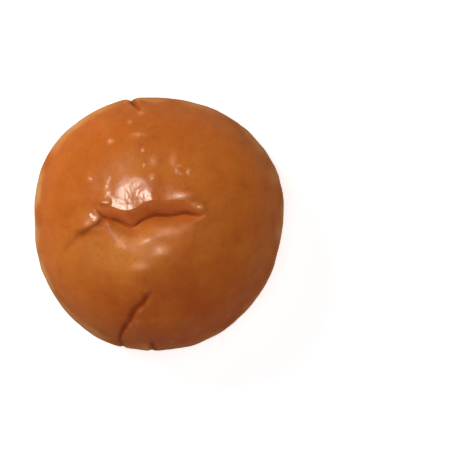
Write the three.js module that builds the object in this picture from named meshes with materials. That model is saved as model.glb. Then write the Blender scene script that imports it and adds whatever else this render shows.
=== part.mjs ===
// A round, baked cream bun, whole and uncut, standing on its flat base.
// Millimetres, +Z up. The origin is on the ground under the middle of the bun.
// The bun is one closed body: a flattened dome over a rounded belly that draws in to a flat base.
// The crown has sunk a little and folded: one wide fold crosses it, with a steep far wall and a
// gentle near slope, and thinner creases run from it and in from the edge and over the side.
import * as THREE from "three";

// ---- driving sizes -------------------------------------------------------------------------
const BELLY_R = 50; // mean radius at the widest level
const HEIGHT = 44.8; // crown above the base, before the crown sinks
const CROWN_SWAY = 0.03; // how much fuller the crown is on its high side, as a share
const BELLY_Z = 16; // height of the widest level
const BELLY_SWAY = 3.5; // how much higher the widest level sits on the high side
const HIGH_SIDE = 2.5; // direction of the high side, radians from +X
const FOOT = 0.84; // radius of the flat base, as a share of the belly's
const CROWN_N = 2.45; // roundness of the crown in profile: 2 is a ball's, more is flatter
const SKIRT_K = 2.2; // roundness from the belly down to the base

// The outline isn't a circle: [waves round it, cosine, sine].
const OUTLINE_WAVES = [
  [1, -0.26, 0.32],
  [2, -0.41, 0.25],
  [3, 0.42, 0.72],
  [4, -0.47, 0.07],
  [5, 0.03, 0.12],
  [6, -0.1, 0.04],
  [7, 0.02, -0.03],
  [8, -0.14, 0.13],
];

// The fold across the crown: its valley, the ridge of the far wall and the ridge of the near slope.
const FOLD_FROM = -26;
const FOLD_TO = 19.4;
const VALLEY = [
  [-26, 7.4], [-22.6, 4.1], [-20.5, 2.4], [-16.0, 1.2], [-13.5, 0], [-9.6, -1.3], [-6.0, 1.2],
  [-1.4, 3.1], [5.6, 3.1], [10.9, 4.0], [16.0, 3.1], [19.4, 3.1],
];
const FAR_RIDGE = [
  [-26, 9.0], [-19.8, 7.5], [-17.2, 6.5], [-11.9, 5.0], [-7.9, 6.3], [-3.6, 8.6], [2.5, 9.0],
  [10.6, 8.8], [14.8, 5.8], [19.4, 5.0],
];
const NEAR_RIDGE = [
  [-26, 3.4], [-21.0, 0.4], [-18.0, -0.8], [-14.5, -3.6], [-9.1, -5.6], [-1.4, -2.4], [8.7, -0.8],
  [15.2, 1.2], [19.4, 1.6],
];
const FOLD_DEPTHS = [
  [-26, 0], [-23.6, 0.5], [-21, 1.6], [-16, 2.6], [-10, 2.7], [-3, 3.3], [6, 3.4], [12, 2.6], [16, 1.3], [19.4, 0],
];
const FAR_RIDGE_RISE = 1.2;
const NEAR_RIDGE_RISE = 0.7;

// Thinner creases. "profile" is the share of the length, the depth there, and the width to the right
// and to the left of the way it runs; "top" points are x, y on the crown, "side" points an angle in
// degrees and a height.
const CREASES = [
  {
    profile: [[0, 0.9, 1.0, 0.6], [0.3, 0.6, 1.0, 0.6], [0.5, 0.5, 2.4, 1.4], [0.72, 0.25, 1.4, 0.8], [1, 0.1, 1.0, 0.8]],
    top: [
      [-21.0, 1.4], [-22.5, -0.3], [-24.3, -1.7], [-26.2, -2.7], [-29.6, -4.7], [-31.8, -6.4], [-33.6, -7.9],
      [-35.3, -9.9], [-37.1, -12.7],
    ],
    side: [],
  },
  {
    profile: [
      [0, 0.4, 0.8, 0.6], [0.05, 1.0, 1.8, 0.5], [0.2, 1.2, 2.9, 0.4], [0.36, 1.3, 3.0, 0.4], [0.48, 1.0, 1.2, 0.4],
      [0.7, 0.8, 0.6, 0.5], [0.88, 0.6, 0.7, 0.6], [1, 0.05, 0.7, 0.7],
    ],
    top: [
      [-2.3, -26.8], [-4.0, -29.0], [-5.2, -31.3], [-7.3, -33.3], [-9.0, -35.2], [-10.0, -37.6], [-11.5, -39.6],
      [-13.2, -41.2], [-14.1, -43.2], [-14.9, -45.5],
    ],
    side: [[253, 22], [254.2, 16], [253.4, 10]],
  },
  {
    profile: [[0, 0.2, 0.6, 0.6], [0.2, 0.7, 0.7, 0.6], [0.45, 1.5, 1.0, 1.2], [0.75, 1.0, 1.0, 1.0], [1, 0.05, 0.9, 0.9]],
    top: [[-6.0, 43.2], [-7.6, 45.4], [-9.3, 47.0]],
    side: [[101.8, 22], [102.7, 16], [101.7, 11]],
  },
  {
    profile: [[0, 0.1, 0.8, 0.8], [0.25, 1.5, 1.1, 1.2], [0.55, 0.9, 0.8, 0.9], [0.8, 0.5, 0.6, 0.6], [1, 0.05, 0.4, 0.4]],
    top: [[-1.6, -46.4]],
    side: [[267, 25], [267.9, 19], [266.7, 13], [267.6, 9]],
  },
];
const CREASE_MIN = 1.6; // least width drawn on either side, which is as fine as the facets go

// Soft swellings: x, y, half-lengths left, right, below and above, rise.
const SWELLINGS = [
  [-3.6, 5.8, 11.0, 3.4, 3.5, 11.0, 0.8], // beyond the fold, where the crust shines most
  [-6.0, 17.0, 11.0, 8.0, 12.0, 4.6, 0.7],
  [-1.5, 12.0, 14.0, 9.0, 9.0, 9.0, 0.8],
  [13.4, 10.8, 4.8, 3.0, 1.8, 2.6, 0.65],
  [-28.5, -2.0, 3.2, 6.2, 1.8, 5.2, 1.5], // the knob at the fold's left end
  [-21.3, 8.2, 2.0, 3.2, 1.6, 2.4, 0.6],
  [-1.0, -15.5, 16.0, 16.0, 10.0, 11.0, 1.4], // before the fold
  [-13.2, -9.0, 5.5, 3.2, 3.5, 3.2, 0.7],
  [-6.2, -17.4, 4.2, 4.2, 2.4, 2.4, 0.5],
  [-30.0, 14.0, 8.0, 8.0, 8.0, 8.0, 0.3],
];

// How finely the body is faceted.
const COLUMNS = 48; // across the crown
const ROWS = [16, 7, 8, 17]; // up to the near ridge, to the valley, to the far ridge, to the far edge
const SIDE_RINGS = 11;
const CAP_SHARE = 0.5; // how far the crown's grid reaches, from the crown's middle to the base's edge

// ---- helpers -------------------------------------------------------------------------------
const clamp = (v, a, b) => Math.min(b, Math.max(a, v));
const mix = (a, b, t) => a + (b - a) * t;
const smooth = (a, b, v) => {
  const t = clamp((v - a) / (b - a), 0, 1);
  return t * t * (3 - 2 * t);
};

// A smooth curve y(x) through points given from left to right.
function curveThrough(points) {
  const n = points.length;
  const slope = points.map((p, i) => {
    const a = points[Math.max(0, i - 1)], b = points[Math.min(n - 1, i + 1)];
    return (b[1] - a[1]) / (b[0] - a[0]);
  });
  return (x) => {
    let i = 0;
    while (i < n - 2 && x > points[i + 1][0]) i++;
    const [x0, y0] = points[i], [x1, y1] = points[i + 1];
    const w = x1 - x0, t = clamp((x - x0) / w, 0, 1), t2 = t * t, t3 = t2 * t;
    return (
      y0 * (2 * t3 - 3 * t2 + 1) + slope[i] * w * (t3 - 2 * t2 + t) +
      y1 * (3 * t2 - 2 * t3) + slope[i + 1] * w * (t3 - t2)
    );
  };
}

// ---- the plain bun -------------------------------------------------------------------------
function outline(angle) {
  let r = BELLY_R;
  for (const [k, c, s] of OUTLINE_WAVES) r += c * Math.cos(k * angle) + s * Math.sin(k * angle);
  return r;
}
const bellyHeight = (angle) => BELLY_Z + BELLY_SWAY * Math.cos(angle - HIGH_SIDE);

// The profile as [share of the belly radius, share of the height, on the crown], down to the base.
const STEPS = 1500;
const PROFILE = [];
for (let i = 0; i <= STEPS; i++) {
  const a = (i / STEPS) * (Math.PI / 2);
  PROFILE.push([Math.sin(a) ** (2 / CROWN_N), Math.cos(a), 1]);
}
for (let i = 1; i <= STEPS; i++) {
  const a = (i / STEPS) * (Math.PI / 2);
  PROFILE.push([FOOT + (1 - FOOT) * Math.cos(a) ** (2 / SKIRT_K), 1 - Math.sin(a) ** (2 / SKIRT_K), 0]);
}
const RUN = [0];
for (let i = 1; i < PROFILE.length; i++) {
  const z = ([, v, up]) => (up ? BELLY_Z + (HEIGHT - BELLY_Z) * v : BELLY_Z * v);
  const a = PROFILE[i - 1], b = PROFILE[i];
  RUN.push(RUN[i - 1] + Math.hypot((b[0] - a[0]) * BELLY_R, z(b) - z(a)));
}
const BELLY_SHARE = RUN[STEPS] / RUN[RUN.length - 1];

// The plain surface at an angle and a share of the way from the crown's middle to the base's edge.
function plain(angle, share) {
  const want = clamp(share, 0, 1) * RUN[RUN.length - 1];
  let lo = 0, hi = RUN.length - 1;
  while (hi - lo > 1) {
    const mid = (lo + hi) >> 1;
    if (RUN[mid] <= want) lo = mid;
    else hi = mid;
  }
  const t = (want - RUN[lo]) / Math.max(1e-9, RUN[hi] - RUN[lo]);
  const q = mix(PROFILE[lo][0], PROFILE[hi][0], t), v = mix(PROFILE[lo][1], PROFILE[hi][1], t);
  const belly = bellyHeight(angle), r = outline(angle) * q;
  const lean = 1 + CROWN_SWAY * q * Math.cos(angle - HIGH_SIDE);
  const z = PROFILE[hi][2] ? belly + (HEIGHT - belly) * v * lean : belly * v;
  return new THREE.Vector3(r * Math.cos(angle), r * Math.sin(angle), z);
}

// The share at which the plain surface stops being "good", going outwards.
function shareWhile(angle, good) {
  let lo = 0, hi = 1;
  for (let i = 0; i < 30; i++) {
    const mid = (lo + hi) / 2;
    if (good(plain(angle, mid))) lo = mid;
    else hi = mid;
  }
  return (lo + hi) / 2;
}
function shareOver(x, y) {
  const angle = Math.atan2(y, x), r = Math.hypot(x, y);
  return shareWhile(angle, (p) => Math.hypot(p.x, p.y) < r && p.z > bellyHeight(angle));
}

// ---- unevenness, the sunken middle and the fold, as a rise above the plain surface ------------
const lumps = (x, y) =>
  0.45 * Math.sin(0.085 * x + 0.05 * y + 1.1) + 0.35 * Math.sin(-0.06 * x + 0.11 * y + 2.3) +
  0.22 * Math.sin(0.16 * x - 0.09 * y + 0.6) + 0.18 * Math.sin(0.12 * x + 0.17 * y + 4.0);
const sunk = (x, y) => -1.6 * Math.exp(-((x + 2) ** 2 / 420 + (y - 1) ** 2 / 300));

const valley = curveThrough(VALLEY), farRidge = curveThrough(FAR_RIDGE), nearRidge = curveThrough(NEAR_RIDGE);
const foldDepth = curveThrough(FOLD_DEPTHS);
function fold(x, y) {
  const depth = x > FOLD_FROM && x < FOLD_TO ? Math.max(0, foldDepth(x)) : 0;
  const e = smooth(0, 2.5, depth), v = valley(x), far = farRidge(x), near = nearRidge(x);
  const rise = FAR_RIDGE_RISE * smooth(-34, -15, x) * (1 - smooth(12, 28, x)), lip = NEAR_RIDGE_RISE * e;
  if (y >= far) return rise * Math.exp(-(y - far) / 9);
  const before = rise * Math.exp(-(((y - far) / 6) ** 2));
  const down = v - y, back = Math.max(0, near - y);
  const inside =
    y >= v
      ? -depth + (depth + rise) * (1 - (1 - (y - v) / (far - v)) ** 1.25)
      : -depth + (depth + lip) * (1 - Math.exp(-down / (0.56 * (v - near)))) - lip * (1 - Math.exp(-((back / 9) ** 2)));
  return mix(before, inside, e);
}
function swollen(x, y) {
  let out = 0;
  for (const [cx, cy, left, right, below, above, rise] of SWELLINGS) {
    const i = (x - cx) / (x < cx ? left : right), j = (y - cy) / (y < cy ? below : above);
    out += rise * Math.exp(-(i * i + j * j));
  }
  return out;
}

// ---- the thinner creases -------------------------------------------------------------------
function creaseLine({ top, side }) {
  const points = top.map(([x, y]) => plain(Math.atan2(y, x), Math.min(shareOver(x, y), BELLY_SHARE)));
  for (const [deg, z] of side) {
    const angle = (deg * Math.PI) / 180;
    points.push(plain(angle, shareWhile(angle, (p) => p.z > z)));
  }
  return new THREE.CatmullRomCurve3(points, false, "centripetal").getSpacedPoints(60);
}
const creases = CREASES.map((c) => ({ ...c, line: creaseLine(c) }));
const at = (profile, t, k) => {
  let i = 0;
  while (i < profile.length - 2 && t > profile[i + 1][0]) i++;
  const a = profile[i], b = profile[i + 1];
  return mix(a[k], b[k], clamp((t - a[0]) / (b[0] - a[0]), 0, 1));
};
function creased(p) {
  let rise = 0;
  for (const { profile, line } of creases) {
    let best = Infinity, n = 0;
    line.forEach((q, i) => {
      const s = q.distanceToSquared(p);
      if (s < best) (best = s), (n = i);
    });
    const ahead = line[Math.min(line.length - 1, n + 1)].clone().sub(line[Math.max(0, n - 1)]);
    const off = p.clone().sub(line[n]), up = p.clone().sub(new THREE.Vector3(0, 0, 10));
    const left = ahead.cross(off).dot(up) > 0, t = n / (line.length - 1);
    const width = Math.max(CREASE_MIN, at(profile, t, left ? 3 : 2));
    rise -= at(profile, t, 1) * Math.exp(-((Math.sqrt(best) / width) ** 1.4));
  }
  return rise;
}

// ---- the finished surface: the plain one, moved along its normal by all of the above -----------
function surface(angle, share) {
  const p = plain(angle, share), h = 0.002, s = Math.max(share, 1e-3);
  const along = plain(angle, Math.min(1, share + h)).sub(plain(angle, Math.max(0, share - h)));
  const round = plain(angle + h, s).sub(plain(angle - h, s));
  const normal = new THREE.Vector3().crossVectors(along, round).normalize();
  if (share < 1e-3) normal.set(0, 0, 1);
  const crown = 1 - smooth(0.3, 0.55, share); // the slow lumps leave the outline alone
  const above = 1 - smooth(0.82, 0.98, share); // and nothing dents the base
  const dents = sunk(p.x, p.y) + fold(p.x, p.y) + creased(p);
  return p.addScaledVector(normal, (lumps(p.x, p.y) + swollen(p.x, p.y)) * crown + dents * above);
}

// ---- the closed body -----------------------------------------------------------------------
// The crown is a square grid, u and v from -1 to 1, drawn out to a disc, so that no facets pinch
// together at its middle. Its rows follow the fold, and its columns stand closer over it.
const toDisc = (u, v) => [u * Math.sqrt(1 - (v * v) / 2), v * Math.sqrt(1 - (u * u) / 2)];
function toSquare(a, b) {
  const s = 2 * Math.SQRT2, d = a * a - b * b, root = (n) => Math.sqrt(Math.max(0, n));
  return [(root(2 + d + s * a) - root(2 + d - s * a)) / 2, (root(2 - d + s * b) - root(2 - d - s * b)) / 2];
}
function rowLine(f, atEdge) {
  const points = [[-1, atEdge]];
  for (let x = FOLD_FROM; x <= FOLD_TO; x += 2) {
    const angle = Math.atan2(f(x), x), s = shareOver(x, f(x)) / CAP_SHARE;
    points.push(toSquare(s * Math.cos(angle), s * Math.sin(angle)));
  }
  points.push([1, atEdge]);
  return curveThrough(points);
}
const rowLines = [() => -1, rowLine(nearRidge, -0.2), rowLine(valley, 0.1), rowLine(farRidge, 0.38), () => 1];
const rows = ROWS.reduce((a, n) => a + n);
function column(i) {
  const t = (2 * i) / COLUMNS - 1;
  return t - 0.13 * Math.sin(Math.PI * t) - 0.03 * (1 - t * t);
}
function row(j, u) {
  let k = 0, at = j;
  while (k < 3 && at > ROWS[k]) at -= ROWS[k++];
  const t = at / ROWS[k];
  const eased = k === 0 ? 1 - (1 - t) ** 1.25 : k === 3 ? t ** 1.25 : t; // closer near the fold
  return mix(rowLines[k](u), rowLines[k + 1](u), eased);
}
const place = (i, j) => toDisc(column(i), row(j, column(i)));

const verts = [], faces = [];
const add = (p) => verts.push(p) - 1;
const quad = (a, b, c, d) => faces.push(a, b, c, a, c, d);

const grid = [];
for (let j = 0; j <= rows; j++) {
  grid.push([]);
  for (let i = 0; i <= COLUMNS; i++) {
    const [a, b] = place(i, j);
    grid[j].push(add(surface(Math.atan2(b, a), Math.hypot(a, b) * CAP_SHARE)));
  }
}
for (let j = 0; j < rows; j++)
  for (let i = 0; i < COLUMNS; i++) quad(grid[j][i], grid[j][i + 1], grid[j + 1][i + 1], grid[j + 1][i]);

// The crown's rim, anticlockwise from above, and the rings below it, whose columns ease to even spacing.
const rim = [];
for (let i = 0; i < COLUMNS; i++) rim.push([i, 0]);
for (let j = 0; j < rows; j++) rim.push([COLUMNS, j]);
for (let i = COLUMNS; i > 0; i--) rim.push([i, rows]);
for (let j = rows; j > 0; j--) rim.push([0, j]);
let ring = rim.map(([i, j]) => grid[j][i]);
const even = (n) => -0.75 * Math.PI + (n / rim.length) * 2 * Math.PI;
const drift = rim.map(([i, j], n) => {
  const [a, b] = place(i, j), d = Math.atan2(b, a) - even(n);
  return d - 2 * Math.PI * Math.round(d / (2 * Math.PI));
});
for (let k = 1; k <= SIDE_RINGS; k++) {
  const f = k / SIDE_RINGS;
  const next = ring.map((_, n) => add(surface(even(n) + drift[n] * (1 - 0.8 * f), mix(CAP_SHARE, 1, f))));
  for (let n = 0; n < ring.length; n++) {
    const m = (n + 1) % ring.length;
    quad(ring[n], next[n], next[m], ring[m]);
  }
  ring = next;
}
// The flat base.
for (const k of ring) verts[k].z = 0;
const middle = add(new THREE.Vector3(0, 0, 0));
for (let n = 0; n < ring.length; n++) faces.push(middle, ring[(n + 1) % ring.length], ring[n]);

// The origin goes under the middle of the body's box.
const centre = new THREE.Box3().setFromPoints(verts).getCenter(new THREE.Vector3());
for (const v of verts) (v.x -= centre.x), (v.y -= centre.y);

const geometry = new THREE.BufferGeometry();
geometry.setAttribute("position", new THREE.Float32BufferAttribute(verts.flatMap((v) => [v.x, v.y, v.z]), 3));
geometry.setIndex(faces);
geometry.computeVertexNormals();

const crust = new THREE.MeshStandardMaterial({ color: 0xb4632c, roughness: 0.35, metalness: 0 });
const bun = new THREE.Mesh(geometry, crust);
bun.name = "bun";

const part = new THREE.Group();
part.name = "cream_bun";
part.add(bun);
export default part;
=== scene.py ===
"""The look of a round, baked cream bun: a glossy browned crust with a sunken, folded crown."""

import math

import bpy
import numpy as np
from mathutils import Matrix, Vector


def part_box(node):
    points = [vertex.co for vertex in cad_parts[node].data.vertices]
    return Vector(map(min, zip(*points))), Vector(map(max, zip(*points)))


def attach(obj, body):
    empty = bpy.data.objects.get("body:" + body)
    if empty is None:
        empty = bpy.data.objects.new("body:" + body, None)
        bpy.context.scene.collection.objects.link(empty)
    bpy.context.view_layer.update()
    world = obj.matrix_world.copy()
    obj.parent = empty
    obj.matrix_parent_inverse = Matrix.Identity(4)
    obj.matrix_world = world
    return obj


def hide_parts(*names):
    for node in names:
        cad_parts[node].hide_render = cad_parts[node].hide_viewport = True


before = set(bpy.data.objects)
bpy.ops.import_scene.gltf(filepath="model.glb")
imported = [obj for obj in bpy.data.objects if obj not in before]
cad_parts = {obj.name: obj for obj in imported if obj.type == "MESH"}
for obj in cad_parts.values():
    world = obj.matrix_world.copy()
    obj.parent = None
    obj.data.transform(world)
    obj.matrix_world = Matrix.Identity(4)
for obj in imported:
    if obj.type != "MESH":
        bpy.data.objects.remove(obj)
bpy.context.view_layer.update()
scene = bpy.context.scene

# ---- driving sizes, in millimetres: the same bun as the solid ---------------------------------
BELLY_R, HEIGHT, CROWN_SWAY = 50.0, 44.8, 0.03
BELLY_Z, BELLY_SWAY, HIGH_SIDE = 16.0, 3.5, 2.5
FOOT, CROWN_N, SKIRT_K = 0.84, 2.45, 2.2
OUTLINE_WAVES = [
    (1, -0.26, 0.32), (2, -0.41, 0.25), (3, 0.42, 0.72), (4, -0.47, 0.07), (5, 0.03, 0.12),
    (6, -0.1, 0.04), (7, 0.02, -0.03), (8, -0.14, 0.13),
]
FOLD_FROM, FOLD_TO = -26.0, 19.4
VALLEY = [
    (-26, 7.4), (-22.6, 4.1), (-20.5, 2.4), (-16.0, 1.2), (-13.5, 0), (-9.6, -1.3), (-6.0, 1.2),
    (-1.4, 3.1), (5.6, 3.1), (10.9, 4.0), (16.0, 3.1), (19.4, 3.1),
]
FAR_RIDGE = [
    (-26, 9.0), (-19.8, 7.5), (-17.2, 6.5), (-11.9, 5.0), (-7.9, 6.3), (-3.6, 8.6), (2.5, 9.0),
    (10.6, 8.8), (14.8, 5.8), (19.4, 5.0),
]
NEAR_RIDGE = [
    (-26, 3.4), (-21.0, 0.4), (-18.0, -0.8), (-14.5, -3.6), (-9.1, -5.6), (-1.4, -2.4), (8.7, -0.8),
    (15.2, 1.2), (19.4, 1.6),
]
FOLD_DEPTHS = [
    (-26, 0), (-23.6, 0.5), (-21, 1.6), (-16, 2.6), (-10, 2.7), (-3, 3.3), (6, 3.4), (12, 2.6), (16, 1.3), (19.4, 0),
]
FAR_RIDGE_RISE, NEAR_RIDGE_RISE, CRACK = 1.2, 0.7, 0.5
# Each crease: (share of its length, depth, width to the right and to the left of the way it runs),
# then its points over the crown as x, y, then its points down the side as degrees, height.
CREASES = [
    (
        [(0, 0.9, 1.0, 0.6), (0.3, 0.6, 1.0, 0.6), (0.5, 0.5, 2.4, 1.4), (0.72, 0.35, 1.4, 0.9), (1, 0.12, 1.0, 0.8)],
        [(-21.0, 1.4), (-22.5, -0.3), (-24.3, -1.7), (-26.2, -2.7), (-29.6, -4.7), (-31.8, -6.4), (-33.6, -7.9),
         (-35.3, -9.9), (-37.1, -12.7)],
        [],
    ),
    (
        [(0, 0.4, 0.8, 0.6), (0.05, 1.0, 1.8, 0.5), (0.2, 1.2, 2.9, 0.4), (0.36, 1.3, 3.0, 0.4), (0.48, 1.0, 1.2, 0.4),
         (0.7, 0.8, 0.6, 0.5), (0.88, 0.6, 0.7, 0.6), (1, 0.05, 0.7, 0.7)],
        [(-2.3, -26.8), (-4.0, -29.0), (-5.2, -31.3), (-7.3, -33.3), (-9.0, -35.2), (-10.0, -37.6), (-11.5, -39.6),
         (-13.2, -41.2), (-14.1, -43.2), (-14.9, -45.5)],
        [(253.0, 22), (254.2, 16), (253.4, 10)],
    ),
    (
        [(0, 0.2, 0.6, 0.6), (0.2, 0.7, 0.7, 0.6), (0.45, 1.5, 1.0, 1.2), (0.75, 1.0, 1.0, 1.0), (1, 0.05, 0.9, 0.9)],
        [(-6.0, 43.2), (-7.6, 45.4), (-9.3, 47.0)],
        [(101.8, 22), (102.7, 16), (101.7, 11)],
    ),
    (
        [(0, 0.1, 0.8, 0.8), (0.25, 1.5, 1.1, 1.2), (0.55, 0.9, 0.8, 0.9), (0.8, 0.5, 0.6, 0.6), (1, 0.05, 0.4, 0.4)],
        [(-1.6, -46.4)],
        [(267, 25), (267.9, 19), (266.7, 13), (267.6, 9)],
    ),
    (
        [(0, 0.2, 0.8, 0.8), (0.5, 0.5, 0.9, 0.9), (1, 0.1, 0.8, 0.8)],
        [],
        [(283, 17), (286, 15), (290, 14)],
    ),
]

# Small features of the crust: raised blisters as x, y, radius, height.
BLISTERS = [
    (-18.0, 31.6, 0.8, 0.42), (-26.0, 17.4, 0.6, 0.28), (-18.6, 17.9, 0.6, 0.3), (-19.3, 16.3, 0.8, 0.13),
    (-19.9, 14.6, 0.8, 0.14), (-19.1, 12.0, 0.8, 0.13), (-19.8, 10.7, 0.8, 0.12), (-18.5, 8.4, 1.0, 0.25),
    (-5.3, 28.4, 0.6, 0.32), (-4.8, 22.6, 0.7, 0.34), (-1.7, 24.9, 0.5, 0.28), (-1.4, 17.9, 1.0, 0.3),
    (8.4, 20.7, 1.2, 0.3), (12.2, 19.9, 0.6, 0.36), (10.7, 14.6, 0.6, 0.2), (17.2, 6.4, 1.2, 0.35), (-6.5, 42.9, 0.8, 0.45), (-10.7, 39.2, 0.6, 0.3),
    (-6.7, 33.9, 0.7, 0.3), (-26.3, 3.0, 0.9, 0.3), (-24.6, 1.2, 0.9, 0.25), (-23.0, 0.6, 0.9, 0.3), (-18.6, 1.4, 1.1, 0.3),
    (-6.9, -33.8, 0.8, 0.25), (-11.0, -39.4, 0.8, 0.25), (-6.8, -26.7, 0.7, 0.22),
]

# Paler places: partly thin, pale skin over blisters, partly painted highlights and sheens on the blisters, the knob and
# the ridges of the fold: x, y, half-length across and along, how pale.
PALER_AND_HIGHLIGHTS = [
    (-17.8, 31.7, 1.1, 0.8, 0.9), (-7.1, 34.2, 2.6, 0.8, 0.55), (-1.2, 24.2, 1.7, 1.8, 0.5), (6.3, 24.6, 1.2, 3.0, 0.4),
    (-6.3, 42.9, 1.1, 0.8, 0.7), (-10.6, 39.3, 0.9, 0.7, 0.6), (-5.3, 28.4, 0.7, 0.7, 0.7), (-4.8, 22.6, 0.8, 0.8, 0.6),
    (-1.7, 18.2, 1.2, 1.2, 0.5), (12.2, 19.9, 0.7, 1.3, 0.7), (8.4, 22.2, 1.3, 0.5, 0.6), (7.3, 20.6, 0.5, 1.2, 0.6),
    (8.8, 19.2, 1.2, 0.5, 0.5), (-26.0, 17.4, 0.8, 0.7, 0.7), (-19.6, 14.0, 0.9, 4.0, 0.35), (-6.9, -33.8, 1.0, 0.9, 0.4),
    (-11.0, -39.4, 1.2, 1.0, 0.4), (-8.4, -38.0, 2.4, 1.0, 0.2), (4.6, -3.1, 5.2, 2.0, 0.6),
    (-5.4, -6.3, 3.2, 1.4, 0.4), (-14.0, -7.4, 2.0, 2.6, 0.35), (2.5, -10.3, 3.0, 1.7, 0.5),
    (-6.4, -16.5, 3.4, 1.4, 0.45), (9.8, 11.0, 3.0, 1.0, 0.6), (-24.5, 1.4, 2.4, 2.0, 0.3),
    (14.2, 7.2, 1.2, 0.9, 0.4), (17.0, 5.9, 1.6, 0.9, 0.5), (-10.0, -1.5, 2.6, 0.8, 0.2),
]

# Soft hummocks and dips: x, y, half-lengths left, right, below and above, turn in degrees, rise.
HUMMOCKS = [
    (-2.4, 5.8, 12.2, 3.6, 3.5, 11.0, 0, 0.8), (-6.0, 17.0, 11.0, 8.0, 12.0, 4.6, 0, 0.7),  # the glossy patch
    (-1.5, 12.0, 14.0, 9.0, 9.0, 9.0, 0, 0.8), (13.4, 10.8, 4.8, 3.0, 1.8, 2.6, 0, 0.65),
    (-28.5, -2.0, 3.2, 6.2, 1.8, 5.2, 0, 1.5),  # the knob at the fold's left end
    (-18.6, 0.0, 2.0, 2.0, 1.2, 1.3, -10, 0.3), (16.9, 6.2, 1.8, 2.0, 1.2, 2.2, 0, 0.4),
    (-17.4, 14.0, 2.2, 2.2, 7.0, 8.0, -4, -0.08), (-20.0, 13.5, 1.6, 1.6, 6.0, 6.0, -4, 0.05),
    (-21.3, 8.2, 2.0, 3.2, 1.2, 2.2, -10, 0.7), (-1.1, 24.2, 1.8, 1.8, 2.0, 2.0, 0, 0.28),
    (-7.1, 34.0, 2.6, 2.6, 1.1, 1.1, 0, 0.22), (6.2, 24.3, 1.3, 1.3, 3.2, 3.2, 35, 0.2),
    (-6.6, 46.9, 1.6, 1.6, 1.6, 1.6, 0, 0.35),
    (4.2, -4.0, 6.0, 5.5, 2.2, 2.2, 4, 0.25), (-5.0, -6.8, 4.0, 3.5, 2.2, 2.0, 27, 0.22),
    (-13.2, -9.0, 5.5, 3.2, 3.5, 3.2, 0, 0.7), (2.8, -11.6, 4.6, 4.2, 2.4, 2.6, 38, 0.32),
    (-6.2, -17.4, 4.2, 4.2, 2.4, 2.4, 15, 0.5), (9.0, -15.0, 5.0, 5.0, 2.5, 2.5, 40, 0.2),
    (18.6, 7.7, 3.0, 3.0, 0.7, 0.7, 0, -0.3), (-30.0, 14.0, 8.0, 8.0, 8.0, 8.0, 0, 0.3),
    (-1.0, -15.5, 16.0, 16.0, 10.0, 11.0, 0, 1.4), (4.2, -42.7, 1.3, 1.3, 3.0, 3.0, 5, 0.25),
]

# How finely the skin is drawn.
COLUMNS = 208
ROWS = [60, 36, 44, 72]
SIDE_RINGS = 44
BASE_RINGS = 8
CAP_SHARE = 0.5


# ---- helpers ---------------------------------------------------------------------------------
def smooth(a, b, v):
    t = np.clip((v - a) / (b - a), 0, 1)
    return t * t * (3 - 2 * t)


def curve_through(points):
    """A smooth curve y(x) through points given from left to right."""
    px, py = np.array([p[0] for p in points], float), np.array([p[1] for p in points], float)
    n = len(px)
    slope = np.array([(py[min(n - 1, i + 1)] - py[max(0, i - 1)]) / (px[min(n - 1, i + 1)] - px[max(0, i - 1)]) for i in range(n)])

    def f(x):
        x = np.asarray(x, float)
        i = np.clip(np.searchsorted(px, x, side="left") - 1, 0, n - 2)
        w = px[i + 1] - px[i]
        t = np.clip((x - px[i]) / w, 0, 1)
        return (
            py[i] * (2 * t**3 - 3 * t**2 + 1) + slope[i] * w * (t**3 - 2 * t**2 + t)
            + py[i + 1] * (3 * t**2 - 2 * t**3) + slope[i + 1] * w * (t**3 - t**2)
        )

    return f


def ripples(p, wavelength, seed, count=36, spread=0.35, squash=(1, 1, 1)):
    """Even, isotropic unevenness of about one wavelength, roughly -1 to 1, as a sum of waves."""
    r = np.random.default_rng(seed)
    k = r.normal(size=(count, 3))
    k /= np.linalg.norm(k, axis=1)[:, None]
    k *= (2 * np.pi / (wavelength * np.exp(r.uniform(-spread, spread, count))))[:, None]
    k /= np.array(squash)
    phase = r.uniform(0, 2 * np.pi, count)
    out = np.zeros(len(p))
    for kk, ph in zip(k, phase):
        out += np.sin(p @ kk + ph)
    return out / math.sqrt(count / 2) / 1.6


# ---- the plain bun ---------------------------------------------------------------------------
def outline(angle):
    return BELLY_R + sum(c * np.cos(k * angle) + s * np.sin(k * angle) for k, c, s in OUTLINE_WAVES)


def belly_height(angle):
    return BELLY_Z + BELLY_SWAY * np.cos(angle - HIGH_SIDE)


STEPS = 1500
_a = np.linspace(0, math.pi / 2, STEPS + 1)
_q = np.concatenate([np.sin(_a) ** (2 / CROWN_N), FOOT + (1 - FOOT) * np.maximum(np.cos(_a[1:]), 0) ** (2 / SKIRT_K)])
_v = np.concatenate([np.cos(_a), 1 - np.sin(_a[1:]) ** (2 / SKIRT_K)])
_v[STEPS] = 0
_z = np.concatenate([BELLY_Z + (HEIGHT - BELLY_Z) * _v[: STEPS + 1], BELLY_Z * _v[STEPS + 1 :]])
RUN = np.concatenate([[0], np.cumsum(np.hypot(np.diff(_q) * BELLY_R, np.diff(_z)))])
BELLY_SHARE = RUN[STEPS] / RUN[-1]


def plain(angle, share):
    want = np.clip(share, 0, 1) * RUN[-1]
    i = np.clip(np.searchsorted(RUN, want, side="right") - 1, 0, len(RUN) - 2)
    t = (want - RUN[i]) / np.maximum(1e-9, RUN[i + 1] - RUN[i])
    q = _q[i] + (_q[i + 1] - _q[i]) * t
    # the height share starts again at 1 below the belly
    below = i >= STEPS
    v0 = np.where(below & (i == STEPS), 1.0, _v[i])
    v = v0 + (_v[i + 1] - v0) * t
    belly, r = belly_height(angle), outline(angle) * q
    lean = 1 + CROWN_SWAY * q * np.cos(angle - HIGH_SIDE)
    z = np.where(below, belly * v, belly + (HEIGHT - belly) * v * lean)
    return np.stack([r * np.cos(angle), r * np.sin(angle), z], -1)


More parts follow.
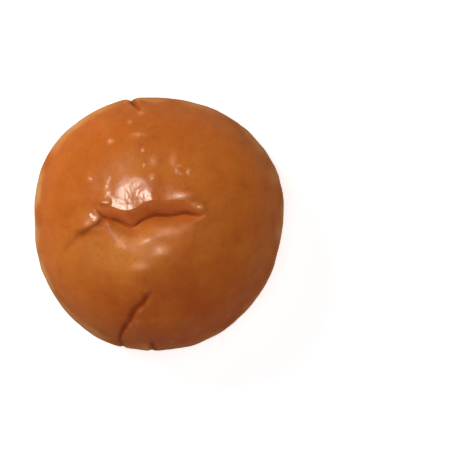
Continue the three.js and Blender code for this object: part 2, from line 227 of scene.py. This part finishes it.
def share_while(angle, good):
    angle = np.asarray(angle, float)
    lo, hi = np.zeros_like(angle), np.ones_like(angle)
    for _ in range(30):
        mid = (lo + hi) / 2
        ok = good(plain(angle, mid))
        lo, hi = np.where(ok, mid, lo), np.where(ok, hi, mid)
    return (lo + hi) / 2


def share_over(x, y):
    x, y = np.asarray(x, float), np.asarray(y, float)
    angle, r = np.arctan2(y, x), np.hypot(x, y)
    return share_while(angle, lambda p: (np.hypot(p[..., 0], p[..., 1]) < r) & (p[..., 2] > belly_height(angle)))


# ---- the crown's slow lumps, sunken middle and fold ---------------------------------------------
def lumps(x, y):
    return (
        0.45 * np.sin(0.085 * x + 0.05 * y + 1.1) + 0.35 * np.sin(-0.06 * x + 0.11 * y + 2.3)
        + 0.22 * np.sin(0.16 * x - 0.09 * y + 0.6) + 0.18 * np.sin(0.12 * x + 0.17 * y + 4.0)
    )


def sunk(x, y):
    return -1.6 * np.exp(-((x + 2) ** 2 / 420 + (y - 1) ** 2 / 300))


valley, far_ridge, near_ridge = curve_through(VALLEY), curve_through(FAR_RIDGE), curve_through(NEAR_RIDGE)
fold_depth = curve_through(FOLD_DEPTHS)


def fold(x, y):
    depth = np.where((x > FOLD_FROM) & (x < FOLD_TO), np.maximum(0, fold_depth(x)), 0)
    e = smooth(0, 2.5, depth)
    v, far, near = valley(x), far_ridge(x), near_ridge(x)
    rise = FAR_RIDGE_RISE * smooth(-34, -15, x) * (1 - smooth(12, 28, x))
    lip = NEAR_RIDGE_RISE * e
    beyond = rise * np.exp(-np.maximum(0, y - far) / 9)
    before = rise * np.exp(-((np.minimum(0, y - far) / 6) ** 2))
    up = np.clip((y - v) / (far - v), 0, 1)
    down = np.maximum(0, v - y)
    wall = -depth + (depth + rise) * (1 - (1 - up) ** 1.45)
    slope = -depth + (depth + lip) * (1 - np.exp(-down / (0.56 * (v - near)))) + 0.25 * e * np.exp(-(((down - 0.7) / 0.45) ** 2))
    slope = slope - np.where(y <= near, lip * (1 - np.exp(-(((near - y) / 9) ** 2))), 0)
    out = np.where(y >= far, beyond, (1 - e) * before + e * np.where(y >= v, wall, slope))
    return out - CRACK * e * np.exp(-(((y - v) / 0.4) ** 2))


# ---- the thinner creases -------------------------------------------------------------------------
def spaced(points, count):
    """Evenly spaced points on a smooth curve through the given ones."""
    p = np.array(points, float)
    if len(p) > 2:
        fine = []
        ext = np.vstack([2 * p[0] - p[1], p, 2 * p[-1] - p[-2]])
        for i in range(1, len(ext) - 2):
            p0, p1, p2, p3 = ext[i - 1 : i + 3]
            for t in np.linspace(0, 1, 24, endpoint=False):
                fine.append(
                    0.5 * (2 * p1 + (p2 - p0) * t + (2 * p0 - 5 * p1 + 4 * p2 - p3) * t**2 + (3 * p1 - p0 - 3 * p2 + p3) * t**3)
                )
        fine.append(p[-1])
        p = np.array(fine)
    run = np.concatenate([[0], np.cumsum(np.linalg.norm(np.diff(p, axis=0), axis=1))])
    want = np.linspace(0, run[-1], count)
    return np.stack([np.interp(want, run, p[:, k]) for k in range(3)], -1)


def crease_line(top, side):
    points = []
    for x, y in top:
        angle = math.atan2(y, x)
        points.append(plain(angle, min(float(share_over(x, y)), BELLY_SHARE)))
    for deg, z in side:
        angle = math.radians(deg)
        points.append(plain(angle, float(share_while(angle, lambda p: p[..., 2] > z))))
    return spaced(points, 120)


def near_line(p, line):
    """Distance of each point to a line of points, how far along it that is, and on which side."""
    best, at = np.full(len(p), 1e9), np.zeros(len(p), int)
    for i, q in enumerate(line):
        d = ((p - q) ** 2).sum(1)
        m = d < best
        best[m], at[m] = d[m], i
    tangent = np.gradient(line, axis=0)[at]
    off = p - line[at]
    up = p - np.array([0, 0, 10.0])
    left = np.einsum("ij,ij->i", np.cross(tangent, off), up) > 0
    return np.sqrt(best), at / (len(line) - 1), left


LINES = [(np.array(profile, float), crease_line(top, side)) for profile, top, side in CREASES]


def creased(p):
    """How far the skin drops at the creases, and how deep in one each place lies."""
    rise, core = np.zeros(len(p)), np.zeros(len(p))
    for profile, line in LINES:
        d, t, on_left = near_line(p, line)
        depth, right, left = (np.interp(t, profile[:, 0], profile[:, k]) for k in (1, 2, 3))
        width = np.where(on_left, left, right)
        rise += -depth * np.exp(-((d / width) ** 1.3)) + 0.12 * depth * np.exp(-(((d - 2.2) / 1.8) ** 2))
        core = np.maximum(core, np.minimum(1, depth) * np.exp(-((d / (0.85 + 0.4 * width)) ** 2.6)))
    return rise, core


# ---- fine relief of the crust --------------------------------------------------------------------
def fine(p, share):
    x, y, z = p.T
    top = 1 - smooth(0.42, 0.6, share)
    side = smooth(0.42, 0.6, share) * (1 - smooth(0.86, 0.97, share))
    v = valley(x)
    near_fold = np.exp(-(((y - 4) / 13) ** 2 + ((x + 3) / 24) ** 2))
    out = 0.10 * ripples(p, 14, 11) * top
    out += 0.03 * ripples(p, 5.5, 12) * (0.35 + near_fold) * top
    # puckers that run up to the fold from its far side, and soft wrinkles along it on its near side
    north = smooth(0, 3, y - v) * np.exp(-(((y - v - 7) / 11) ** 2)) * np.exp(-(((x + 3) / 20) ** 2))
    out += 0.02 * north * ripples(p * np.array([1, 0.7, 0.2]), 4.2, 13)
    south = smooth(0, 3, v - y) * np.exp(-(((v - y - 9) / 10) ** 2)) * np.exp(-(((x + 3) / 18) ** 2))
    out += 0.11 * south * ripples(p * np.array([0.6, 1, 0.3]), 7.5, 14)
    # fine crinkles where the skin has shrunk most
    shrunk = np.exp(-(((y - 9.5) / 6) ** 2 + ((x + 9) / 9) ** 2)) + 0.2 * near_fold
    worm = np.clip(1 - np.abs(ripples(p, 2.6, 15)) * 2.2, 0, 1)
    out -= 0.06 * worm * shrunk * top
    # the sides: faint upright wrinkles
    angle = np.arctan2(y, x)
    around = np.stack([50 * np.cos(angle), 50 * np.sin(angle), 0.16 * z], -1)
    out += 0.06 * ripples(around, 4.2, 16) * side * smooth(-0.1, 0.7, ripples(p, 26, 18))
    out += 0.05 * ripples(p, 7.5, 19)
    out += 0.12 * ripples(p, 11, 17) * side
    for bx, by, r, h in BLISTERS:
        d2 = ((x - bx) ** 2 + (y - by) ** 2) / r**2
        out += h * np.exp(-d2) * (z > 12)
    for hx, hy, left, right, below, above, turn, h in HUMMOCKS:
        c, s = math.cos(math.radians(turn)), math.sin(math.radians(turn))
        i, j = (x - hx) * c + (y - hy) * s, (y - hy) * c - (x - hx) * s
        a, b = np.where(i < 0, left, right), np.where(j < 0, below, above)
        out += h * np.exp(-((i / a) ** 2 + (j / b) ** 2)) * (z > 12)
    return out


def surface(angle, share):
    p, h = plain(angle, share), 0.002
    s = np.maximum(share, 1e-3)
    along = plain(angle, np.minimum(1, share + h)) - plain(angle, np.maximum(0, share - h))
    around = plain(angle + h, s) - plain(angle - h, s)
    n = np.cross(along, around)
    n /= np.maximum(1e-12, np.linalg.norm(n, axis=1))[:, None]
    n[share < 1e-3] = (0, 0, 1)
    crown = 1 - smooth(0.3, 0.55, share)
    above = 1 - smooth(0.82, 0.98, share)
    x, y = p[:, 0], p[:, 1]
    drop, core = creased(p)
    low = lumps(x, y) * crown + (sunk(x, y) + fold(x, y) + drop) * above
    return p + n * (low + fine(p, share))[:, None], p, core


# ---- the skin: a square grid drawn out to the crown, rings down the side, rings across the base ----
def to_disc(u, v):
    return u * np.sqrt(1 - v * v / 2), v * np.sqrt(1 - u * u / 2)


def to_square(a, b):
    s, d = 2 * math.sqrt(2), a * a - b * b
    root = lambda n: np.sqrt(np.maximum(0, n))
    return (root(2 + d + s * a) - root(2 + d - s * a)) / 2, (root(2 - d + s * b) - root(2 - d - s * b)) / 2


def row_line(f, at_edge):
    x = np.arange(FOLD_FROM, FOLD_TO + 1e-6, 2.0)
    y = f(x)
    angle, s = np.arctan2(y, x), share_over(x, y) / CAP_SHARE
    u, v = to_square(s * np.cos(angle), s * np.sin(angle))
    return curve_through([(-1, at_edge)] + list(zip(u, v)) + [(1, at_edge)])


row_lines = [lambda u: -1 + 0 * u, row_line(near_ridge, -0.2), row_line(valley, 0.1), row_line(far_ridge, 0.38), lambda u: 1 + 0 * u]
rows = sum(ROWS)
t = np.linspace(-1, 1, COLUMNS + 1)
col = t - 0.13 * np.sin(np.pi * t) - 0.03 * (1 - t * t)
grid_u, grid_v, j0 = [], [], 0
for k, n in enumerate(ROWS):
    for m in range(n + (k == 3)):
        f = m / n
        f = 1 - (1 - f) ** 1.25 if k == 0 else f**1.25 if k == 3 else f
        a, b = row_lines[k](col), row_lines[k + 1](col)
        grid_u.append(col)
        grid_v.append(a + (b - a) * f)
U, V = np.array(grid_u), np.array(grid_v)
A, B = to_disc(U, V)
cap_angle, cap_share = np.arctan2(B, A).ravel(), (np.hypot(A, B) * CAP_SHARE).ravel()
cap_id = np.arange((rows + 1) * (COLUMNS + 1)).reshape(rows + 1, COLUMNS + 1)

rim = np.concatenate([cap_id[0, :-1], cap_id[:-1, -1], cap_id[-1, :0:-1], cap_id[:0:-1, 0]])
R = len(rim)
even = -0.75 * math.pi + np.arange(R) / R * 2 * math.pi
drift = cap_angle[rim] - even
drift -= 2 * math.pi * np.round(drift / (2 * math.pi))
ring_angle, ring_share = [], []
for k in range(1, SIDE_RINGS + 1):
    f = k / SIDE_RINGS
    ring_angle.append(even + drift * (1 - 0.8 * f))
    ring_share.append(np.full(R, CAP_SHARE + (1 - CAP_SHARE) * f))
angles = np.concatenate([cap_angle, np.concatenate(ring_angle)])
shares = np.concatenate([cap_share, np.concatenate(ring_share)])
points, base_points, core = surface(angles, shares)

ids = [rim] + [len(cap_angle) + k * R + np.arange(R) for k in range(SIDE_RINGS)]
last = points[ids[-1]].copy()
points[ids[-1], 2] = 0
extra, extra_shares = [], []
for k in range(1, BASE_RINGS):
    f = 1 - k / BASE_RINGS
    ring = last * np.array([f, f, 0])
    ids.append(len(points) + sum(len(e) for e in extra) + np.arange(R))
    extra.append(ring)
centre_id = len(points) + sum(len(e) for e in extra)
extra.append(np.zeros((1, 3)))
points = np.vstack([points] + extra)
shares = np.concatenate([shares, np.full(len(points) - len(shares), 1.0)])
plain_points = np.vstack([base_points, points[len(base_points) :]])

quads = [np.stack([cap_id[:-1, :-1], cap_id[:-1, 1:], cap_id[1:, 1:], cap_id[1:, :-1]], -1).reshape(-1, 4)]
for a, b in zip(ids[:-1], ids[1:]):
    quads.append(np.stack([a, b, np.roll(b, -1), np.roll(a, -1)], -1))
quads = np.concatenate(quads)
fan = np.stack([np.full(R, centre_id), np.roll(ids[-1], -1), ids[-1]], -1)

# the solid is centred on its own outline, so the skin moves with it
lo_mm, hi_mm = np.array(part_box("bun")[0]) * 1000, np.array(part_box("bun")[1]) * 1000
centre = (points[:, :2].min(0) + points[:, :2].max(0)) / 2
points[:, :2] += (lo_mm[:2] + hi_mm[:2]) / 2 - centre
OFFSET = (lo_mm[:2] + hi_mm[:2]) / 2 - centre

mesh = bpy.data.meshes.new("bun_crust")
faces = [tuple(f) for f in quads.tolist()] + [tuple(f) for f in fan.tolist()]
mesh.from_pydata((points / 1000).tolist(), [], faces)
mesh.update()
mesh.polygons.foreach_set("use_smooth", np.ones(len(mesh.polygons), bool))


def attribute(name, values):
    a = mesh.attributes.new(name, "FLOAT", "POINT")
    a.data.foreach_set("value", np.asarray(values, np.float32))


# ---- how far each place has baked, where light and shade are painted into the colour, and where the skin folds ---
px, py, pz = plain_points.T
radius = np.hypot(px, py) / outline(np.arctan2(py, px))
lowness = 1 - smooth(2.0, 13.0, pz + 1.2 * ripples(plain_points, 16, 21))
attribute("low", lowness)
# darker towards the lower right, the side turned away from the key light: partly a browner bake, partly painted shade;
# also darker at the top edge and lighter at the front left
browned_and_shaded = smooth(0, 50, 0.3 * px - py + 4 * ripples(plain_points, 22, 22))
browned_and_shaded = np.maximum(browned_and_shaded, 0.5 * np.exp(-(((px - 4) / 22) ** 2 + ((py - 44) / 13) ** 2)))
browned_and_shaded *= 1 - 0.4 * np.exp(-(((px + 20) / 16) ** 2 + ((py + 46) / 11) ** 2))
# painted shadow: the fold's near slope is darkened where the far ridge shades it
shaded_near_slope = smooth(-0.2, 0.6, valley(px) - py) * (1 - smooth(3.0, 6.0, valley(px) - py))
browned_and_shaded = np.maximum(browned_and_shaded, 0.45 * shaded_near_slope * smooth(0, 1.5, fold_depth(px)) * ((px > FOLD_FROM) & (px < FOLD_TO) & (pz > 20)))
attribute("brown_and_shade", browned_and_shaded * (1 - 0.4 * smooth(0.92, 1.0, radius)))
attribute("foot", 1 - smooth(0.3, 2.2, pz))
# a paler rim: partly the paler crust of the sides, partly painted rim light, stronger on the left towards the key light
paler_rim_and_rim_light = smooth(0.945, 1.005, radius + 0.02 * ripples(plain_points, 13, 23) + 0.01 * smooth(10, 45, -px))
attribute("paler_rim_and_rim_light", paler_rim_and_rim_light * (1 - 0.5 * browned_and_shaded) * (1 - 0.25 * px / 50))
in_fold = smooth(0, 1.5, fold_depth(px)) * ((px > FOLD_FROM) & (px < FOLD_TO) & (pz > 20))
# the fold's far wall gets a lighter, redder colour: partly its own redder skin, partly painted fill light on a wall
# that lies in shade
wall_share = in_fold * smooth(-0.3, 0.5, py - valley(px)) * (1 - smooth(-1.2, 0.4, py - far_ridge(px)))
core_all = np.concatenate([core, np.zeros(len(points) - len(core))])
attribute("far_wall_tone_and_light", wall_share)
# darker in the creases: partly the darker skin of a torn crease, partly painted shade
attribute("crease_dark_and_shade", core_all)
# painted shade along the bottom of the fold's valley
crack_shade_mask = in_fold * np.exp(-(((py - valley(px)) / np.where(py > valley(px), 1.3, 0.5)) ** 2))
attribute("crack_shade", crack_shade_mask)
# a golden tone on the south-west of the crown, partly yellower crust, partly painted sheen; a lighter spot above the
# glossy patch, painted sheen
gold_and_sheen_mask = np.exp(-(((py + 12) / 9) ** 2 + ((px + 13) / 17) ** 2)) + 0.35 * np.exp(-(((py - 22) / 6) ** 2 + ((px + 9) / 10) ** 2))
attribute("gold_and_sheen", gold_and_sheen_mask * (pz > 20))


def patch(cx, cy, rx, ry, power=2):
    return np.exp(-(np.abs((px - cx) / rx) ** power + np.abs((py - cy) / ry) ** power)) * (pz > 20)


# where the skin shines most, and where it hardly does: in the fold, in the creases and low on the sides
past = valley(px) - py
south = smooth(-0.2, 0.8, past) * smooth(-23, -20, px) * patch(-2, -6, 30, 20, 4)
shine = (0.28 - 0.16 * patch(-8, 14, 20, 16)) * (1 - 0.97 * south)
for cx, cy, rx, ry, gain in (
    (-8.4, 10.0, 8.8, 8.5, 0.72), (9.5, 11.0, 3.4, 2.0, 0.9), (16.3, 6.2, 2.4, 1.8, 0.65), (-25.4, 2.2, 3.0, 3.0, 0.66),
    (-19.3, 1.6, 2.2, 1.2, 0.5), (-19.0, 8.0, 2.4, 1.8, 0.6), (4.8, -3.2, 5.0, 2.5, 0.38), (-5.4, -6.2, 3.2, 2.0, 0.2),
    (-14.2, -7.6, 2.4, 2.6, 0.08), (2.1, -10.4, 3.6, 2.4, 0.26), (-6.6, -16.2, 4.0, 1.8, 0.4),
):
    shine += gain * patch(cx, cy, rx, ry, 4 if rx > 8 or -8 < cy < -3 else 2)
shine *= 1 - 0.4 * smooth(9, 17, py) * patch(-9, 14, 12, 10)
for cx, cy, r, _ in BLISTERS:
    shine = np.maximum(shine, 0.6 * patch(cx, cy, 1.5 * r, 1.5 * r))
shine *= (1 - 0.9 * wall_share) * (1 - 0.8 * core_all) * (1 - 0.6 * lowness) * (1 - 0.9 * crack_shade_mask)
attribute("shine", shine)
# paler skin mixed with painted highlights and sheens on blisters, the knob and the fold's ridges
pale_and_highlight = np.zeros(len(px))
for cx, cy, rx, ry, much in PALER_AND_HIGHLIGHTS:
    pale_and_highlight = np.maximum(pale_and_highlight, much * patch(cx, cy, rx, ry))
attribute("pale_and_highlight", pale_and_highlight)
attribute("under", (np.arange(len(points)) >= len(base_points)).astype(float))

crust = bpy.data.objects.new("bun_crust", mesh)
scene.collection.objects.link(crust)


# ---- material ------------------------------------------------------------------------------------------
def node(tree, kind, **values):
    n = tree.nodes.new(kind)
    for k, v in values.items():
        setattr(n, k, v)
    return n


def srgb(h):
    c = [int(h[i : i + 2], 16) / 255 for i in (0, 2, 4)]
    return tuple(v / 12.92 if v <= 0.04045 else ((v + 0.055) / 1.055) ** 2.4 for v in c) + (1,)


def crust_material():
    m = bpy.data.materials.new("baked_crust")
    m.use_nodes = True
    t = m.node_tree
    t.nodes.clear()
    link = t.links.new
    out = node(t, "ShaderNodeOutputMaterial")
    bsdf = node(t, "ShaderNodeBsdfPrincipled")
    link(bsdf.outputs[0], out.inputs[0])
    coord = node(t, "ShaderNodeTexCoord").outputs["Object"]

    def attr(name):
        return node(t, "ShaderNodeAttribute", attribute_name=name).outputs["Fac"]

    def noise(scale, detail=3.0, rough=0.5):
        n = node(t, "ShaderNodeTexNoise")
        n.inputs["Scale"].default_value = scale
        n.inputs["Detail"].default_value = detail
        n.inputs["Roughness"].default_value = rough
        link(coord, n.inputs["Vector"])
        return n.outputs["Fac"]

    def math_(op, a, b=None, c=None):
        n = node(t, "ShaderNodeMath", operation=op)
        for i, v in enumerate((a, b, c)):
            if v is None:
                continue
            if isinstance(v, (int, float)):
                n.inputs[i].default_value = v
            else:
                link(v, n.inputs[i])
        return n.outputs[0]

    def span(v, a, b, c=0.0, d=1.0):
        n = node(t, "ShaderNodeMapRange", interpolation_type="SMOOTHSTEP")
        link(v, n.inputs[0])
        for i, k in enumerate((a, b, c, d)):
            n.inputs[i + 1].default_value = k
        return n.outputs[0]

    def mix(fac, a, b):
        n = node(t, "ShaderNodeMix", data_type="RGBA")
        for i, v in ((0, fac), (6, a), (7, b)):
            if isinstance(v, (int, float, tuple)):
                n.inputs[i].default_value = v
            else:
                link(v, n.inputs[i])
        return n.outputs[2]

    mottled = noise(70, 4, 0.6)
    broad = noise(24, 2, 0.5)
    freckled = noise(170, 5, 0.6)
    grain = noise(900, 2, 0.6)
    top = mix(span(broad, 0.3, 0.7), srgb("C4661F"), srgb("C66D26"))
    # golden crust mixed with painted sheen
    top = mix(math_("MULTIPLY", attr("gold_and_sheen"), 0.9), top, srgb("D88638"))
    top = mix(span(mottled, 0.35, 0.75, 0.0, 0.35), top, srgb("B65A1E"))
    # darker crust: partly a browner bake, partly painted shade on the side away from the key light and in the fold's
    # near slope
    top = mix(math_("MULTIPLY", attr("brown_and_shade"), 0.65), top, srgb("A0421C"))
    # paler skin together with painted highlights and sheens
    top = mix(attr("pale_and_highlight"), top, srgb("EDA069"))
    # paler rim: paler side crust plus painted rim light
    colour = mix(math_("MULTIPLY", attr("paler_rim_and_rim_light"), 0.75), top, srgb("DE9C58"))
    colour = mix(math_("MULTIPLY", attr("low"), 0.9), colour, srgb("DBA87C"))
    colour = mix(math_("MULTIPLY", attr("foot"), 0.85), colour, srgb("A4642F"))
    # far wall of the fold: redder skin plus painted fill light
    colour = mix(math_("MULTIPLY", attr("far_wall_tone_and_light"), 0.7), colour, srgb("E0763C"))
    # painted shade in the fold's valley
    colour = mix(math_("MULTIPLY", attr("crack_shade"), 0.4), colour, srgb("8E2E10"))
    # creases: darker skin plus painted shade
    colour = mix(math_("MULTIPLY", attr("crease_dark_and_shade"), 0.8), colour, srgb("8A300E"))
    colour = mix(attr("under"), colour, mix(span(mottled, 0.35, 0.7), srgb("A4683A"), srgb("B9814F")))
    colour = mix(span(freckled, 0.5, 0.72, 0.0, 0.2), colour, srgb("DC8440"))
    colour = mix(span(freckled, 0.28, 0.5, 0.28, 0.0), colour, srgb("9A4014"))
    colour = mix(span(grain, 0.45, 0.75, 0.0, 0.2), colour, srgb("8E4317"))
    link(colour, bsdf.inputs["Base Color"])

    rough = span(noise(160, 3, 0.6), 0.3, 0.7, 0.4, 0.48)
    rough = math_("ADD", rough, math_("MULTIPLY", attr("low"), 0.25))
    link(rough, bsdf.inputs["Roughness"])
    bsdf.inputs["IOR"].default_value = 1.33
    bsdf.inputs["Specular IOR Level"].default_value = 0.3
    link(attr("shine"), bsdf.inputs["Coat Weight"])
    bsdf.inputs["Coat Roughness"].default_value = 0.27
    bsdf.inputs["Coat IOR"].default_value = 1.5
    bsdf.inputs["Subsurface Weight"].default_value = 0.12
    bsdf.inputs["Subsurface Radius"].default_value = (1.0, 0.35, 0.12)
    bsdf.inputs["Subsurface Scale"].default_value = 0.003

    height = math_("ADD", math_("MULTIPLY", noise(420, 3, 0.55), 0.6), math_("MULTIPLY", grain, 0.25))
    bump = node(t, "ShaderNodeBump")
    bump.inputs["Strength"].default_value = 0.35
    bump.inputs["Distance"].default_value = 0.0002
    link(height, bump.inputs["Height"])
    link(bump.outputs[0], bsdf.inputs["Normal"])
    link(bump.outputs[0], bsdf.inputs["Coat Normal"])
    return m


mesh.materials.append(crust_material())
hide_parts("bun")
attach(crust, "root")

# ---- floor, light and camera ------------------------------------------------------------------------------
bpy.ops.mesh.primitive_plane_add(size=6, location=(0, 0, -0.0001))
floor = bpy.context.object
floor.name = "floor"
fm = bpy.data.materials.new("floor")
fm.use_nodes = True
fb = fm.node_tree.nodes["Principled BSDF"]
fb.inputs["Base Color"].default_value = (0.75, 0.75, 0.75, 1)
fb.inputs["Roughness"].default_value = 0.9
fb.inputs["Specular IOR Level"].default_value = 0.0
fb.inputs["Emission Color"].default_value = (1, 1, 1, 1)
fb.inputs["Emission Strength"].default_value = 0.6
floor.data.materials.append(fm)
floor.visible_glossy = False

# a pale dome far behind, as bright as the floor where they meet, only seen and never lighting
bpy.ops.mesh.primitive_uv_sphere_add(segments=96, ring_count=48, radius=2.8, location=(0, 0, 0))
dome = bpy.context.object
dome.name = "backdrop"
dm = bpy.data.materials.new("backdrop")
dm.use_nodes = True
dm.node_tree.nodes.clear()
glow = node(dm.node_tree, "ShaderNodeEmission")
height_up = node(dm.node_tree, "ShaderNodeSeparateXYZ")
dm.node_tree.links.new(node(dm.node_tree, "ShaderNodeTexCoord").outputs["Object"], height_up.inputs[0])
brighter = node(dm.node_tree, "ShaderNodeMapRange", interpolation_type="SMOOTHSTEP")
dm.node_tree.links.new(height_up.outputs["Z"], brighter.inputs[0])
for i, k in enumerate((0.0, 0.2, 0.66, 0.93)):
    brighter.inputs[i + 1].default_value = k
dm.node_tree.links.new(brighter.outputs[0], glow.inputs["Strength"])
dm.node_tree.links.new(glow.outputs[0], node(dm.node_tree, "ShaderNodeOutputMaterial").inputs[0])
dome.data.materials.append(dm)
dome.visible_diffuse = dome.visible_glossy = dome.visible_transmission = dome.visible_shadow = False

world = bpy.data.worlds.new("world")
scene.world = world
world.cycles_visibility.glossy = False
world.use_nodes = True
wt = world.node_tree
wt.nodes.clear()
wo = node(wt, "ShaderNodeOutputWorld")
bg = node(wt, "ShaderNodeBackground")
wt.links.new(bg.outputs[0], wo.inputs[0])
direction = node(wt, "ShaderNodeTexCoord").outputs["Generated"]
split = node(wt, "ShaderNodeSeparateXYZ")
wt.links.new(direction, split.inputs[0])
ramp = node(wt, "ShaderNodeMapRange", interpolation_type="SMOOTHSTEP")
wt.links.new(split.outputs["Z"], ramp.inputs[0])
for i, k in enumerate((0.1, 0.7, 0.06, 0.06)):
    ramp.inputs[i + 1].default_value = k
wt.links.new(ramp.outputs[0], bg.inputs["Strength"])
bg.inputs["Color"].default_value = (1, 1, 1, 1)


def area(name, where, size, watts, shines, colour=(1, 1, 1), at=(0, 0, 0.03)):
    """A round soft light that either lights the skin or is mirrored in it."""
    data = bpy.data.lights.new(name, "AREA")
    data.shape, data.size, data.energy, data.color = "DISK", size, watts, colour
    o = bpy.data.objects.new(name, data)
    scene.collection.objects.link(o)
    o.location = where
    o.rotation_euler = (Vector(at) - Vector(where)).to_track_quat("-Z", "Y").to_euler()
    o.visible_glossy = shines
    o.visible_diffuse = not shines
    data.cycles.use_multiple_importance_sampling = shines


area("key", (-0.776, 0.651, 0.585), 0.6, 9.3, False)
area("fill", (0.1, -0.1, 1.5), 1.4, 12.0, False)
area("highlight", (-0.2, 0.175, 0.95), 0.2, 6.8, True, (1, 0.94, 0.82))
area("sheen", (-0.1, 0.0, 1.0), 0.8, 0.5, True)

camera = bpy.data.objects.new("camera", bpy.data.cameras.new("camera"))
scene.collection.objects.link(camera)
camera.data.sensor_width = 36
MM_PER_PIXEL = 0.39457
away = 1.2
camera.data.lens = 36 * (away - 0.016) / (450 * MM_PER_PIXEL / 1000)
# the bun's harmonic centre lies at pixel (158.5, 223.5) of 450 by 450
camera.location = (
    (225 - 158.5) * MM_PER_PIXEL / 1000 + OFFSET[0] / 1000,
    (223.5 - 225) * MM_PER_PIXEL / 1000 + OFFSET[1] / 1000,
    away,
)
camera.rotation_euler = (0, 0, 0)
camera.data.clip_end = 20
scene.camera = camera

scene.view_settings.view_transform = "Standard"
scene.view_settings.look = "None"
scene.view_settings.exposure = 0
scene.view_settings.gamma = 1
